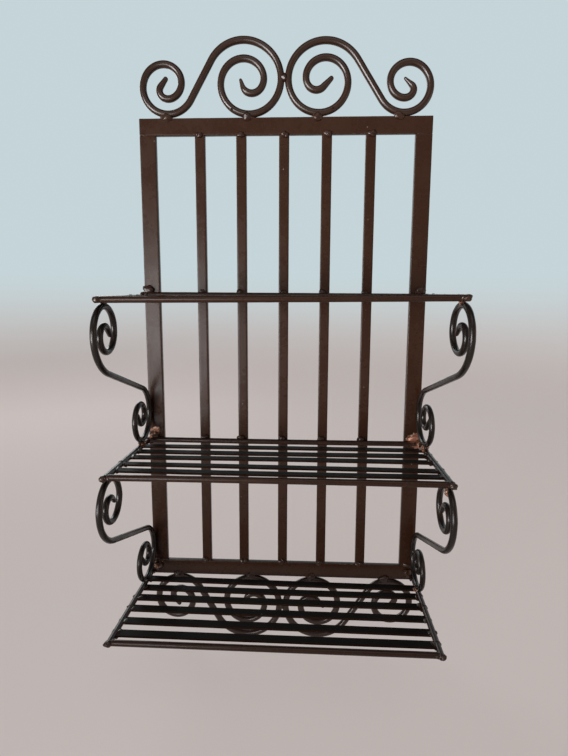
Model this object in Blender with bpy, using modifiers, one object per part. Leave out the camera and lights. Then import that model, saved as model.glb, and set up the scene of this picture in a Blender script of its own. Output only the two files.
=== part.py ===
"""Welded iron wall shelf: a barred back panel with scrolled crest and drop, and three slatted shelves.

Axes: +X to the right, +Y into the wall, +Z up. The wall plane is Y = 0, and the origin is the
centre of the top rail's back face. Sizes below are in millimetres.
"""
import math
from collections import namedtuple

import bmesh
import bpy
from mathutils import Matrix, Vector

MM = 0.001
JOINT_GAP = 0.3

# Back panel of flat bar
PANEL_WIDTH = 330.0
PANEL_HEIGHT = 550.0
BAR_THICKNESS = 6.35
BAR_WIDTH = 18.6
PICKET_WIDTH = 11.5
PICKET_CENTRES = (-95.9, -48.8, -0.2, 47.9, 97.1)
BAR_EDGE_ROUND = 0.5

# Round stock
SCROLL_ROD_RADIUS = 3.97
SCROLL_TO_WALL = 0.05
SHELF_ROD_RADIUS = 3.175
ROD_SIDES = 16

# Shelf slats of thin flat strip
SLAT_WIDTH = 11.5
SLAT_THICKNESS = 2.0

# Shelves: two side rods, and cross bars between them from the back to the front. A cross bar is a
# rod or a slat. At its left and right ends it stands so far in front of the panel's face, and so
# far above the side rod's axis.
SideRod = namedtuple("SideRod", "back_x back_z front_x front_z")
Rod = namedtuple("Rod", "left_depth right_depth left_lift right_lift", defaults=(0.0, 0.0))
Slat = namedtuple("Slat", "left_depth right_depth left_lift right_lift", defaults=(0.0, 0.0))
Shelf = namedtuple("Shelf", "name left right bars")
FRONT_OVERHANG = 4.0
SHELVES = (
    Shelf(
        "top",
        SideRod(-165.6, -190.4, -164.2, -193.9),
        SideRod(165.6, -188.7, 169.3, -191.0),
        (
            Rod(3.6, 3.6, 2.9, 0.3),
            Slat(29.0, 29.0),
            Slat(51.0, 51.0),
            Slat(74.0, 74.0),
            Slat(97.0, 97.0),
            Slat(120.0, 120.0),
            Rod(144.0, 144.0),
        ),
    ),
    Shelf(
        "middle",
        SideRod(-165.6, -364.7, -165.6, -364.7),
        SideRod(165.6, -364.7, 165.6, -364.7),
        (
            Rod(3.6, 3.6, 1.4, 1.0),
            Slat(29.0, 29.0),
            Slat(51.0, 51.0),
            Slat(73.5, 74.0),
            Slat(97.5, 103.0),
            Slat(118.5, 121.0),
            Rod(144.0, 144.0, 0.9, 0.6),
        ),
    ),
    Shelf(
        "bottom",
        SideRod(-165.6, -535.3, -167.5, -535.3),
        SideRod(163.8, -536.6, 162.8, -537.0),
        (
            Slat(23.3, 27.0),
            Slat(44.0, 44.8),
            Slat(65.3, 66.0),
            Slat(87.0, 89.0),
            Slat(110.3, 112.5),
            Slat(132.0, 132.0),
            Rod(147.5, 147.5),
        ),
    ),
)

# Scroll centrelines: straights, and bends whose radius eases from one value to the next
Straight = namedtuple("Straight", "length")
Bend = namedtuple("Bend", "first_radius last_radius degrees")
DEGREES_PER_POINT = 16.0
STEPS_PER_POINT = 8
TIP_TAPER_LENGTH = 16.0
TIP_SIZE = 0.55

# Crest scrolls, from the small curl's tip to the large curl's tip, drawn as the left one
CREST_GAP_TO_CENTRE = 4.15
CREST_START_HEADING = {"left": 232.5, "right": 222.0}
CREST_BENDS = {
    "left": (
        Straight(12.0),
        Bend(7.0, 17.0, 164.0),
        Bend(17.0, 27.0, 227.0),
        Bend(27.0, 30.4, 156.5),
        Straight(47.3),
        Bend(41.0, 42.7, -97.5),
        Bend(42.7, 30.6, -218.0),
        Bend(30.6, 21.4, -174.0),
        Bend(21.4, 9.8, -182.5),
        Straight(8.6),
    ),
    "right": (
        Straight(11.5),
        Bend(6.1, 16.5, 156.5),
        Bend(16.5, 25.4, 216.5),
        Bend(25.4, 31.1, 182.0),
        Straight(50.1),
        Bend(44.1, 40.5, -97.0),
        Bend(40.5, 30.2, -218.5),
        Bend(30.2, 20.4, -171.5),
        Bend(20.4, 10.9, -91.0),
        Bend(10.9, 10.9, -64.0),
        Straight(14.5),
    ),
}

# Side brackets: the two halves of the S, from its middle to its tips, in the plane of forward and up
Bracket = namedtuple("Bracket", "name upper_shelf lower_shelf front_x back_x size")
BRACKET_HEADING = 17.3
BRACKET_UPPER_HALF = (
    Straight(38.5),
    Bend(58.2, 25.6, 135.0),
    Bend(25.6, 20.9, 180.0),
    Bend(20.9, 9.6, 254.0),
    Straight(16.6),
)
BRACKET_LOWER_HALF = (
    Straight(62.5),
    Bend(35.0, 28.4, 135.5),
    Bend(28.4, 19.4, 180.0),
    Bend(19.4, 9.0, 262.0),
    Straight(12.5),
)
BRACKETS = (
    Bracket("upper_left", 0, 1, -166.0, -163.0, 0.992),
    Bracket("upper_right", 0, 1, 172.6, 161.8, 1.0095),
    Bracket("lower_left", 1, 2, -168.3, -162.9, 1.0),
    Bracket("lower_right", 1, 2, 165.6, 161.7, 1.012),
)
FOOT_WELD_RADII = (4.4, 6.0, 3.8)
FOOT_WELD_ROOM = 1.6

# Places that follow from the driving dimensions
HALF_WIDTH = PANEL_WIDTH / 2
HALF_BAR = BAR_WIDTH / 2
PANEL_FRONT_Y = -BAR_THICKNESS
PANEL_TOP_Z = HALF_BAR
PANEL_BOTTOM_Z = HALF_BAR - PANEL_HEIGHT
UPRIGHT_TOP_Z = -HALF_BAR - JOINT_GAP
UPRIGHT_BOTTOM_Z = PANEL_BOTTOM_Z + BAR_WIDTH + JOINT_GAP
SCROLL_Y = -SCROLL_ROD_RADIUS - SCROLL_TO_WALL
ROD_SPACING = 2 * SHELF_ROD_RADIUS + JOINT_GAP

# Paint tones: base colour, metallic, roughness
PANEL_TONE = ((0.036, 0.022, 0.016), 0.0, 0.36)
SCROLL_TONE = ((0.022, 0.015, 0.010), 0.0, 0.32)
SHELF_TONE = ((0.030, 0.020, 0.017), 0.0, 0.34)
BRACKET_TONE = ((0.022, 0.017, 0.015), 0.0, 0.32)
WELD_TONE = ((0.16, 0.075, 0.045), 0.2, 0.6)


def clear_scene():
    """Remove every object that the scene holds."""
    for item in list(bpy.data.objects):
        bpy.data.objects.remove(item, do_unlink=True)


def make_collection(name):
    """Make a collection in the scene."""
    collection = bpy.data.collections.new(name)
    bpy.context.scene.collection.children.link(collection)
    return collection


def make_paint(name, tone):
    """Make a Principled material from a colour, a metallic value and a roughness."""
    colour, metallic, roughness = tone
    material = bpy.data.materials.new(name)
    material.use_nodes = True
    shader = material.node_tree.nodes["Principled BSDF"]
    shader.inputs["Base Color"].default_value = (*colour, 1.0)
    shader.inputs["Metallic"].default_value = metallic
    shader.inputs["Roughness"].default_value = roughness
    material.diffuse_color = (*colour, 1.0)
    return material


clear_scene()
PARTS = make_collection("metal_wall_shelf")
CUTTERS = make_collection("cutters")
PAINT = {
    "panel": make_paint("panel_paint", PANEL_TONE),
    "scroll": make_paint("scroll_paint", SCROLL_TONE),
    "shelf": make_paint("shelf_paint", SHELF_TONE),
    "bracket": make_paint("bracket_paint", BRACKET_TONE),
    "weld": make_paint("bare_weld", WELD_TONE),
}
ROOT = bpy.data.objects.new("wall_shelf_root", None)
PARTS.objects.link(ROOT)


def place_part(name, data, paint, place=Vector((0, 0, 0)), turn=(0.0, 0.0, 0.0)):
    """Link a part under the root empty, at a place in millimetres."""
    data.materials.append(PAINT[paint])
    part = bpy.data.objects.new(name, data)
    part.location = Vector(place) * MM
    part.rotation_euler = turn
    part.parent = ROOT
    PARTS.objects.link(part)
    return part


def mesh_from(bm, name):
    """Turn a bmesh into a mesh with smooth round sides and sharp rims."""
    mesh = bpy.data.meshes.new(name)
    bm.to_mesh(mesh)
    bm.free()
    mesh.shade_smooth()
    mesh.set_sharp_from_angle(angle=math.radians(40))
    return mesh


def flat_bar(name, low, high):
    """Add a flat bar with slightly rounded edges between two opposite corners."""
    low, high = Vector(low), Vector(high)
    bm = bmesh.new()
    bmesh.ops.create_cube(bm, size=1.0)
    bmesh.ops.scale(bm, vec=(high - low) * MM, verts=bm.verts)
    bar = place_part(name, mesh_from(bm, name), "panel", (low + high) / 2)
    edge = bar.modifiers.new("edge", "BEVEL")
    edge.width = BAR_EDGE_ROUND * MM
    edge.segments = 1
    return bar


def rod_mesh(name, length, radius):
    """Make a round rod of this length along its own Z axis."""
    bm = bmesh.new()
    bmesh.ops.create_cone(
        bm,
        cap_ends=True,
        segments=ROD_SIDES,
        radius1=radius * MM,
        radius2=radius * MM,
        depth=length * MM,
    )
    return mesh_from(bm, name)


def shelf_rod(name, start, end):
    """Add a straight shelf rod between two points of its axis."""
    along = end - start
    turn = along.to_track_quat("Z", "Y").to_euler()
    mesh = rod_mesh(name, along.length, SHELF_ROD_RADIUS)
    return place_part(name, mesh, "shelf", (start + end) / 2, turn)


def shelf_slat(name, start, end):
    """Add a flat slat between two points of its axis, lying on its wide side."""
    along = end - start
    turn = Vector((1, 0, 0)).rotation_difference(along).to_euler()
    bm = bmesh.new()
    bmesh.ops.create_cube(bm, size=1.0)
    size = Vector((along.length, SLAT_WIDTH, SLAT_THICKNESS))
    bmesh.ops.scale(bm, vec=size * MM, verts=bm.verts)
    return place_part(name, mesh_from(bm, name), "shelf", (start + end) / 2, turn)


def walk(bends, heading_degrees):
    """Follow straights and easing bends from (0, 0), and return the centreline's points."""
    place = Vector((0.0, 0.0))
    heading = math.radians(heading_degrees)
    points = [place.copy()]
    for bend in bends:
        if isinstance(bend, Straight):
            place = place + Vector((math.cos(heading), math.sin(heading))) * bend.length
            points.append(place.copy())
            continue
        sweep = math.radians(bend.degrees)
        first, last = 1.0 / bend.first_radius, 1.0 / bend.last_radius
        length = 2.0 * abs(sweep) / (first + last)
        count = max(2, round(abs(bend.degrees) / DEGREES_PER_POINT))
        steps = count * STEPS_PER_POINT
        step = length / steps
        side = math.copysign(1.0, sweep)
        for index in range(steps):
            share = (index + 0.5) / steps
            turn = side * (first + (last - first) * share) * step
            middle = heading + turn / 2
            place = place + Vector((math.cos(middle), math.sin(middle))) * step
            heading += turn
            if (index + 1) % STEPS_PER_POINT == 0:
                points.append(place.copy())
    return points


def tip_sizes(points):
    """Say how thick the rod is at each point, as a share, with both tips drawn down."""
    travelled = [0.0]
    for before, after in zip(points, points[1:]):
        travelled.append(travelled[-1] + (after - before).length)
    sizes = []
    for distance in travelled:
        to_tip = min(distance, travelled[-1] - distance)
        sizes.append(TIP_SIZE + (1.0 - TIP_SIZE) * min(1.0, to_tip / TIP_TAPER_LENGTH))
    return sizes


def tube_curve(name, points, sizes, radius):
    """Make a filled tube along 3-D points, with a thickness share at each point."""
    curve = bpy.data.curves.new(name, "CURVE")
    curve.dimensions = "3D"
    curve.bevel_depth = radius * MM
    curve.bevel_resolution = 2
    curve.use_fill_caps = True
    spline = curve.splines.new("POLY")
    spline.points.add(len(points) - 1)
    for knot, point, size in zip(spline.points, points, sizes):
        knot.co = (*(Vector(point) * MM), 1.0)
        knot.radius = size
    return curve


def closed_mesh(curve_object):
    """Return a curve object's tube as a mesh with its caps welded."""
    bpy.context.view_layer.update()
    graph = bpy.context.evaluated_depsgraph_get()
    mesh = bpy.data.meshes.new_from_object(curve_object.evaluated_get(graph))
    bm = bmesh.new()
    bm.from_mesh(mesh)
    bmesh.ops.remove_doubles(bm, verts=bm.verts, dist=0.00001)
    bm.to_mesh(mesh)
    bm.free()
    return mesh


def build_panel():
    """Build the rails, stiles and pickets."""
    flat_bar(
        "top_rail",
        (-HALF_WIDTH, PANEL_FRONT_Y, -HALF_BAR),
        (HALF_WIDTH, 0, PANEL_TOP_Z),
    )
    flat_bar(
        "bottom_rail",
        (-HALF_WIDTH, PANEL_FRONT_Y, PANEL_BOTTOM_Z),
        (HALF_WIDTH, 0, PANEL_BOTTOM_Z + BAR_WIDTH),
    )
    uprights = [
        ("left_stile", HALF_BAR - HALF_WIDTH, BAR_WIDTH),
        ("right_stile", HALF_WIDTH - HALF_BAR, BAR_WIDTH),
    ]
    for number, centre in enumerate(PICKET_CENTRES, start=1):
        uprights.append((f"picket_{number}", centre, PICKET_WIDTH))
    for name, centre, width in uprights:
        flat_bar(
            name,
            (centre - width / 2, PANEL_FRONT_Y, UPRIGHT_BOTTOM_Z),
            (centre + width / 2, 0, UPRIGHT_TOP_Z),
        )


def crest_profile(side):
    """Return one crest scroll's points: X from the centre and height above the rail."""
    points = walk(CREST_BENDS[side], CREST_START_HEADING[side])
    inner = max(point.x for point in points)
    lowest = min(point.y for point in points)
    shift = Vector((-CREST_GAP_TO_CENTRE - inner, SCROLL_ROD_RADIUS + JOINT_GAP - lowest))
    return [point + shift for point in points]


def build_scroll_pairs():
    """Build the crest on the top rail and the same pair, upside down, under the bottom rail."""
    for side, mirror in (("left", 1.0), ("right", -1.0)):
        profile = crest_profile(side)
        sizes = tip_sizes(profile)
        for name, edge_z, up in (("crest", PANEL_TOP_Z, 1.0), ("drop", PANEL_BOTTOM_Z, -1.0)):
            points = [(mirror * p.x, 0.0, up * p.y) for p in profile]
            curve = tube_curve(f"{name}_scroll_{side}", points, sizes, SCROLL_ROD_RADIUS)
            place_part(curve.name, curve, "scroll", (0, SCROLL_Y, edge_z))


def shelf_reach(shelf):
    """Return how far a shelf's side rods stand out from the panel's face."""
    return shelf.bars[-1].left_depth + FRONT_OVERHANG


def side_rod_point(shelf, side, depth):
    """Return a point of a side rod's axis at a depth in front of the panel's face."""
    rod = shelf.left if side == "left" else shelf.right
    back = Vector((rod.back_x, PANEL_FRONT_Y, rod.back_z))
    front = Vector((rod.front_x, PANEL_FRONT_Y - shelf_reach(shelf), rod.front_z))
    return back.lerp(front, depth / shelf_reach(shelf))


def build_shelves():
    """Build each shelf's two side rods and the cross bars between them."""
    butt = Vector((SHELF_ROD_RADIUS + JOINT_GAP, 0, 0))
    for shelf in SHELVES:
        for side in ("left", "right"):
            back = side_rod_point(shelf, side, JOINT_GAP)
            front = side_rod_point(shelf, side, shelf_reach(shelf))
            shelf_rod(f"{shelf.name}_shelf_side_{side}", back, front)
        for number, bar in enumerate(shelf.bars, start=1):
            start = side_rod_point(shelf, "left", bar.left_depth) + butt
            start.z += bar.left_lift
            end = side_rod_point(shelf, "right", bar.right_depth) - butt
            end.z += bar.right_lift
            build = shelf_rod if isinstance(bar, Rod) else shelf_slat
            build(f"{shelf.name}_shelf_bar_{number}", start, end)


def bracket_profile(size):
    """Return the S centreline about its middle: forward and up, from the top tip to the foot tip."""
    upper = [size * point for point in walk(BRACKET_UPPER_HALF, BRACKET_HEADING)]
    lower = [-size * point for point in walk(BRACKET_LOWER_HALF, BRACKET_HEADING)]
    return list(reversed(upper)) + lower[1:]


def build_brackets():
    """Build the side brackets, and the welds that stand two of them on the middle shelf."""
    for bracket in BRACKETS:
        side = bracket.name.split("_")[1]
        upper, lower = SHELVES[bracket.upper_shelf], SHELVES[bracket.lower_shelf]
        profile = bracket_profile(bracket.size)
        points = [(0.0, -point.x, point.y) for point in profile]
        top = max(profile, key=lambda point: point.y)
        foot = min(profile, key=lambda point: point.y)
        front_reach = max(point.x for point in profile)
        back_reach = -min(point.x for point in profile)
        middle_depth = SHELF_ROD_RADIUS + JOINT_GAP + back_reach
        lean = (bracket.front_x - bracket.back_x) / (front_reach + back_reach)
        middle_x = bracket.back_x + lean * back_reach
        held = side_rod_point(upper, side, middle_depth + top.x)
        beside = middle_x + lean * top.x - held.x
        below = math.sqrt(ROD_SPACING**2 - beside**2)
        middle = Vector((middle_x, PANEL_FRONT_Y - middle_depth, held.z - below - top.y))
        curve = tube_curve(f"bracket_{bracket.name}", points, tip_sizes(profile), SHELF_ROD_RADIUS)
        part = place_part(curve.name, curve, "bracket", middle, (0.0, 0.0, math.atan(lean)))
        foot_point = middle + Vector((lean * foot.x, -foot.x, foot.y))
        stand = side_rod_point(lower, side, middle_depth + foot.x)
        if (foot_point - stand).length > ROD_SPACING + FOOT_WELD_ROOM:
            number = nearest_bar(lower, middle_depth + foot.x)
            under = (f"{lower.name}_shelf_side_{side}", f"{lower.name}_shelf_bar_{number}")
            neighbours = [part] + [bpy.data.objects[name] for name in under]
            foot_weld(f"foot_weld_{bracket.name}", (foot_point + stand) / 2, neighbours)


def nearest_bar(shelf, depth):
    """Return the number of a shelf's cross bar that lies nearest to a depth."""
    nearest = min(shelf.bars, key=lambda bar: abs(bar.left_depth - depth))
    return shelf.bars.index(nearest) + 1


def fattened(part):
    """Return a cutter that is a part's body, thicker by the gap that touching parts keep."""
    if part.type == "CURVE":
        copy = part.copy()
        copy.data = part.data.copy()
        copy.data.bevel_depth += JOINT_GAP * MM
        CUTTERS.objects.link(copy)
        mesh = closed_mesh(copy)
        bpy.data.objects.remove(copy)
    else:
        mesh = part.data.copy()
        growth = [1 + 2 * JOINT_GAP * MM / size for size in part.dimensions]
        mesh.transform(Matrix.Diagonal((*growth, 1.0)))
    cutter = bpy.data.objects.new(f"cutter_{part.name}", mesh)
    cutter.location = part.location
    cutter.rotation_euler = part.rotation_euler
    cutter.parent = ROOT
    cutter.hide_render = True
    cutter.display_type = "WIRE"
    CUTTERS.objects.link(cutter)
    return cutter


def foot_weld(name, centre, neighbours):
    """Add the blob of weld between a bracket's foot and the rods under it."""
    bm = bmesh.new()
    bmesh.ops.create_uvsphere(bm, u_segments=16, v_segments=10, radius=MM)
    bmesh.ops.scale(bm, vec=FOOT_WELD_RADII, verts=bm.verts)
    weld = place_part(name, mesh_from(bm, name), "weld", centre)
    bpy.context.view_layer.update()
    for neighbour in neighbours:
        cut = weld.modifiers.new("seat", "BOOLEAN")
        cut.operation = "DIFFERENCE"
        cut.object = fattened(neighbour)


build_panel()
build_scroll_pairs()
build_shelves()
build_brackets()
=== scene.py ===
import bisect
import math
import random
from collections import namedtuple

import bmesh
import bpy
from mathutils import Euler, Matrix, Vector, noise


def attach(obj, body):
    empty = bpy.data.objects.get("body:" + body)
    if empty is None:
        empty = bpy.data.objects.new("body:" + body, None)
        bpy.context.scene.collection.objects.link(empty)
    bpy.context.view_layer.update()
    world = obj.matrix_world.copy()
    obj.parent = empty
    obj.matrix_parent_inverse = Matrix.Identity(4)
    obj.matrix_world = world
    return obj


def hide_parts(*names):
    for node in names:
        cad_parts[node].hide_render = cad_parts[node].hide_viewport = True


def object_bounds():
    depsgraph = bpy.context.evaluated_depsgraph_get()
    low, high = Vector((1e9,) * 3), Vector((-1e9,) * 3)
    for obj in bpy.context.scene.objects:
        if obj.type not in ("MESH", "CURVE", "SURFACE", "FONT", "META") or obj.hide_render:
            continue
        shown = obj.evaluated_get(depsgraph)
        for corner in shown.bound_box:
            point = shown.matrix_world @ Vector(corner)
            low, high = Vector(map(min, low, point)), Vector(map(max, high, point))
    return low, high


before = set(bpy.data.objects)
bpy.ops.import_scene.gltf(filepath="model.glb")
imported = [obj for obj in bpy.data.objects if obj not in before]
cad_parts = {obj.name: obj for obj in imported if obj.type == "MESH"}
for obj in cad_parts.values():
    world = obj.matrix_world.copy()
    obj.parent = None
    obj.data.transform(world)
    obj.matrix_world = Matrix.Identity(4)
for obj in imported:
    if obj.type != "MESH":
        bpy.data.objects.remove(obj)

CAD_LOW, CAD_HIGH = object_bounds()
MM = 0.001

# Back panel of flat bar
PANEL_WIDTH = 330.0
PANEL_HEIGHT = 550.0
BAR_THICKNESS = 6.35
BAR_WIDTH = 18.6
PICKET_WIDTH = 11.5
PICKET_CENTRES = (-95.9, -48.8, -0.2, 47.9, 97.1)
BAR_ROUND = 0.8
BAR_EDGE_STRIP = 2.4
BAR_CELL = 4.0
BAR_WAVE = 0.07
BAR_WAVES_PER_METRE = 90.0

# Round stock: shelf rods have cut ends, and scrolls and brackets have forged tips. The last three are
# shares: how thick a cut end is, how thin the very end is, and where the rings of an end stand.
SCROLL_ROD_RADIUS = 3.97
SHELF_ROD_RADIUS = 3.175
SCROLL_SIDES = 22
SHELF_ROD_SIDES = 18
SCROLL_RING_STEP = 1.7
SHELF_RING_STEP = 4.0
ROD_WAVE = {"scroll": 0.05, "shelf": 0.06, "bracket": 0.12}
ROD_WAVES_PER_METRE = 110.0
CUT_END_ROUND = 0.7
FORGED_TIP_ROUND = 2.6
TIP_TAPER_LENGTH = 17.0
END_WEAR_REACH = 2.2 * SHELF_ROD_RADIUS
CUT_ENDS = (1.0, 1.0)
END_CORNER = {"cut": 0.72, "forged": 0.35}
END_RINGS = (0.0, 0.06, 0.22, 0.45, 0.72, 1.0)

# Shelf slats of thin flat strip
SLAT_WIDTH = 11.5
SLAT_THICKNESS = 2.0
SLAT_ROUND = 0.55
SLAT_EDGE_STRIP = 1.3
SLAT_CELL = 5.0
SLAT_WAVE = 0.10
SLAT_WAVES_PER_METRE = 60.0
SLAT_ROLL = 0.03

# Shelves: two side rods, and cross bars between them from the back to the front. A cross bar is a
# rod or a slat. At its left and right ends it stands so far in front of the panel's face, and so
# far above the side rod's axis, and its middle bows up, with a little more or less by chance. Its
# ends bite into the side rods.
SideRod = namedtuple("SideRod", "back_x back_z front_x front_z")
BAR_FIELDS = "left_depth right_depth left_lift right_lift bow"
Rod = namedtuple("Rod", BAR_FIELDS, defaults=(0.0, 0.0, 0.0))
Slat = namedtuple("Slat", BAR_FIELDS, defaults=(0.0, 0.0, 0.0))
Shelf = namedtuple("Shelf", "name left right bars")
FRONT_OVERHANG = 4.0
CHANCE_BOW = 0.5
END_BITE = 0.3
BOWED_ROD_STEPS = 20
SHELVES = (
    Shelf(
        "top",
        SideRod(-165.6, -190.4, -164.2, -193.9),
        SideRod(165.6, -188.7, 169.3, -191.0),
        (
            Rod(3.6, 3.6, 2.9, 0.3),
            Slat(29.0, 29.0),
            Slat(51.0, 51.0),
            Slat(74.0, 74.0),
            Slat(97.0, 97.0),
            Slat(120.0, 120.0),
            Rod(144.0, 144.0),
        ),
    ),
    Shelf(
        "middle",
        SideRod(-165.6, -364.7, -165.6, -364.7),
        SideRod(165.6, -364.7, 165.6, -364.7),
        (
            Rod(3.6, 3.6, 1.4, 1.0),
            Slat(29.0, 29.0),
            Slat(51.0, 51.0),
            Slat(73.5, 74.0),
            Slat(97.5, 103.0),
            Slat(118.5, 121.0),
            Rod(144.0, 144.0, 0.9, 0.6, 0.9),
        ),
    ),
    Shelf(
        "bottom",
        SideRod(-165.6, -535.3, -167.5, -535.3),
        SideRod(163.8, -536.6, 162.8, -537.0),
        (
            Slat(23.3, 27.0),
            Slat(44.0, 44.8),
            Slat(65.3, 66.0),
            Slat(87.0, 89.0),
            Slat(110.3, 112.5),
            Slat(132.0, 132.0),
            Rod(147.5, 147.5, 0.0, 0.0, -0.5),
        ),
    ),
)

# Scroll centrelines: straights, and bends whose radius eases from one value to the next
Straight = namedtuple("Straight", "length")
Bend = namedtuple("Bend", "first_radius last_radius degrees")
WALK_STEP = 0.5
CREST_GAP_TO_CENTRE = 4.15
WALL_GAP = 0.05
CREST_START_HEADING = {"left": 232.5, "right": 222.0}
CREST_BENDS = {
    "left": (
        Straight(12.0),
        Bend(7.0, 17.0, 164.0),
        Bend(17.0, 27.0, 227.0),
        Bend(27.0, 30.4, 156.5),
        Straight(47.3),
        Bend(41.0, 42.7, -97.5),
        Bend(42.7, 30.6, -218.0),
        Bend(30.6, 21.4, -174.0),
        Bend(21.4, 9.8, -182.5),
        Straight(8.6),
    ),
    "right": (
        Straight(11.5),
        Bend(6.1, 16.5, 156.5),
        Bend(16.5, 25.4, 216.5),
        Bend(25.4, 31.1, 182.0),
        Straight(50.1),
        Bend(44.1, 40.5, -97.0),
        Bend(40.5, 30.2, -218.5),
        Bend(30.2, 20.4, -171.5),
        Bend(20.4, 10.9, -91.0),
        Bend(10.9, 10.9, -64.0),
        Straight(14.5),
    ),
}
# How thick the forged tips are, as a share of the rod: small curl, then large curl
CREST_TIPS = {"left": (0.66, 0.48), "right": (0.42, 0.66)}

# Side brackets: the two halves of the S, from its middle to its tips, in the plane of forward and up,
# and how much shorter the top tip of each bracket is
Bracket = namedtuple("Bracket", "name upper_shelf lower_shelf front_x back_x size tips top_trim")
BRACKET_HEADING = 17.3
BRACKET_UPPER_HALF = (
    Straight(38.5),
    Bend(58.2, 25.6, 135.0),
    Bend(25.6, 20.9, 180.0),
    Bend(20.9, 9.6, 254.0),
    Straight(16.6),
)
BRACKET_LOWER_HALF = (
    Straight(62.5),
    Bend(35.0, 28.4, 135.5),
    Bend(28.4, 19.4, 180.0),
    Bend(19.4, 9.0, 262.0),
    Straight(12.5),
)
BRACKETS = (
    Bracket("upper_left", 0, 1, -166.0, -163.0, 0.992, (0.80, 0.85), 5.5),
    Bracket("upper_right", 0, 1, 172.6, 161.8, 1.0095, (0.60, 0.55), 7.0),
    Bracket("lower_left", 1, 2, -168.3, -162.9, 1.0, (0.75, 0.70), 9.0),
    Bracket("lower_right", 1, 2, 165.6, 161.7, 1.012, (0.70, 0.60), 0.0),
)
JOINT_GAP = 0.3

# Places that follow from the sizes above
HALF_WIDTH = PANEL_WIDTH / 2
HALF_BAR = BAR_WIDTH / 2
PANEL_FRONT_Y = -BAR_THICKNESS
PANEL_TOP_Z = HALF_BAR
PANEL_BOTTOM_Z = HALF_BAR - PANEL_HEIGHT
UPRIGHT_TOP_Z = -HALF_BAR
UPRIGHT_BOTTOM_Z = PANEL_BOTTOM_Z + BAR_WIDTH
STILE_CENTRE = HALF_WIDTH - HALF_BAR
SCROLL_Y = -SCROLL_ROD_RADIUS - WALL_GAP
ROD_SPACING = 2 * SHELF_ROD_RADIUS + JOINT_GAP
ACROSS_PANEL = Vector((0.0, 1.0, 0.0))
UPWARD = Vector((0.0, 0.0, 1.0))

HAND = random.Random(11)


# Shader nodes and groups

RUST_BROWN = (0.150, 0.066, 0.040, 1.0)
RUST_ORANGE = (0.34, 0.150, 0.085, 1.0)
# Pale flecks in bare metal at welds, lightened to stand in for glints: a painted highlight
PAINTED_GLINT_FLECK = (0.80, 0.62, 0.50, 1.0)
BARE_COPPER = (0.56, 0.245, 0.165, 1.0)
RUBBED_STEEL = (0.115, 0.085, 0.068, 1.0)
SPECK_PALE = (0.20, 0.165, 0.14, 1.0)
DUST_GREY = (0.23, 0.20, 0.175, 1.0)
RUBBED_ROUGHNESS = 0.42
DUST_ROUGHNESS = 0.75
RUST_ROUGHNESS = 0.40
GLOSS_SPREAD = 0.08
RUBBED_METAL = 0.6
RUST_METAL = 0.40
PIT_DEPTH = 0.14


def put(tree, kind, inputs, **settings):
    """Add a node, with its settings, and with each input set to a value or linked to a socket."""
    node = tree.nodes.new(kind)
    for key, value in settings.items():
        setattr(node, key, value)
    for key, value in inputs.items():
        if isinstance(value, bpy.types.NodeSocket):
            tree.links.new(value, node.inputs[key])
        else:
            node.inputs[key].default_value = value
    return node


def mix_colour(tree, share, first, second):
    """Mix two colours, or sockets of colours, and return the mixed socket."""
    node = put(tree, "ShaderNodeMix", {0: share, 6: first, 7: second}, data_type="RGBA")
    return node.outputs[2]


def mix_value(tree, share, first, second):
    """Mix two values, or sockets of values, and return the mixed socket."""
    return put(tree, "ShaderNodeMix", {0: share, 2: first, 3: second}).outputs[0]


def sums(tree, operation, first, second):
    """Do one piece of arithmetic on two values and return its socket."""
    return put(tree, "ShaderNodeMath", {0: first, 1: second}, operation=operation).outputs[0]


def step_between(tree, value, low, high):
    """Rise smoothly from 0 to 1 while a value goes from low to high."""
    inputs = {"Value": value, "From Min": low, "From Max": high}
    return put(tree, "ShaderNodeMapRange", inputs, interpolation_type="SMOOTHSTEP").outputs[0]


def cloud(tree, place, scale, detail, roughness=0.5):
    """Return the value of a noise texture at this many waves to the metre."""
    inputs = {"Vector": place, "Scale": scale, "Detail": detail, "Roughness": roughness}
    return put(tree, "ShaderNodeTexNoise", inputs).outputs[0]


def new_group(name, inputs, outputs):
    """Make a shader node group with named sockets, and return its tree and its two end nodes."""
    tree = bpy.data.node_groups.new(name, "ShaderNodeTree")
    for label, kind in inputs:
        tree.interface.new_socket(name=label, in_out="INPUT", socket_type=kind)
    for label, kind in outputs:
        tree.interface.new_socket(name=label, in_out="OUTPUT", socket_type=kind)
    return tree, tree.nodes.new("NodeGroupInput"), tree.nodes.new("NodeGroupOutput")


def enamel_skin_group():
    """Build the group for brushed enamel: slow tone, sparse pale specks, and the skin's ripple."""
    tree, start, end = new_group(
        "enamel_skin",
        [("Place", "NodeSocketVector")],
        [("Tone", "NodeSocketFloat"), ("Specks", "NodeSocketFloat"), ("Ripple", "NodeSocketFloat")],
    )
    place = start.outputs["Place"]
    slow = cloud(tree, place, 26.0, 3.0)
    fine = cloud(tree, place, 190.0, 3.0, 0.6)
    tone = step_between(tree, mix_value(tree, 0.4, slow, fine), 0.36, 0.64)
    cells = put(tree, "ShaderNodeTexVoronoi", {"Vector": place, "Scale": 62.0})
    near = step_between(tree, cells.outputs["Distance"], 0.055, 0.025)
    pick = put(tree, "ShaderNodeSeparateColor", {"Color": cells.outputs["Color"]}).outputs[0]
    specks = sums(tree, "MULTIPLY", near, step_between(tree, pick, 0.62, 0.72))
    peel = cloud(tree, place, 420.0, 2.0)
    grit = cloud(tree, place, 1500.0, 2.0)
    ripple = mix_value(tree, 0.25, peel, grit)
    for label, socket in (("Tone", tone), ("Specks", specks), ("Ripple", ripple)):
        tree.links.new(socket, end.inputs[label])
    return tree


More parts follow.
